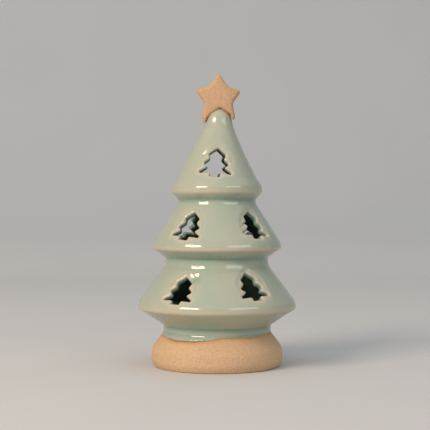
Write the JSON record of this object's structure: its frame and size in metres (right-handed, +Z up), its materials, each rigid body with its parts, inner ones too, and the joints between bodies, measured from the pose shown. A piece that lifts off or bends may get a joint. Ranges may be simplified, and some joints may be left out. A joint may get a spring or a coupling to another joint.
{
  "type": "ceramic christmas tree lantern",
  "caption": "Hollow thrown stoneware tree with tiered rims, tree-shaped light holes, pale green glaze, bare foot and star, standing over a battery tealight.",
  "frame": {"origin": "on the table, on the tree's turning axis", "axes": "+Z up along the turning axis; the front of the tree faces -Y"},
  "size_m": [0.0866, 0.0866, 0.1602],
  "materials": {
    "stoneware": "bare sandy stoneware with fine dark specks",
    "glaze": "glossy pale green celadon, buff where it breaks over edges",
    "shell_plastic": "moulded ivory plastic",
    "flame_plastic": "frosted translucent plastic",
    "led_resin": "clear warm resin",
    "plated_steel": "nickel plated",
    "board": "green board laminate",
    "knob_plastic": "moulded black plastic"
  },
  "bodies": {
    "light": {"candle_shell": "shell_plastic", "flame_lens": "flame_plastic", "led_lamp": "led_resin", "led_leads": "plated_steel", "circuit_board": "board", "contact_leaf": "plated_steel", "contact_rim": "plated_steel", "base_plate": "shell_plastic"},
    "tree": {"tree_body": "stoneware", "glaze_coat": "glaze", "star": "stoneware"},
    "switch": {"switch_knob": "knob_plastic"},
    "cap": {"battery_cap": "shell_plastic", "coin_cell": "plated_steel"}
  },
  "joints": [
    {"name": "tree_lift", "type": "slide", "parent": "light", "child": "tree", "axis": [0, 0, 1], "range_m": [0, 0.06]},
    {"name": "switch_slide", "type": "slide", "parent": "light", "child": "switch", "axis": [1, 0, 0], "range_m": [0, 0.0025]},
    {"name": "cap_turn", "type": "hinge", "parent": "light", "child": "cap", "pos_m": [0, 0, 0.002], "axis": [0, 0, 1], "range_deg": [0, 80]}
  ]
}
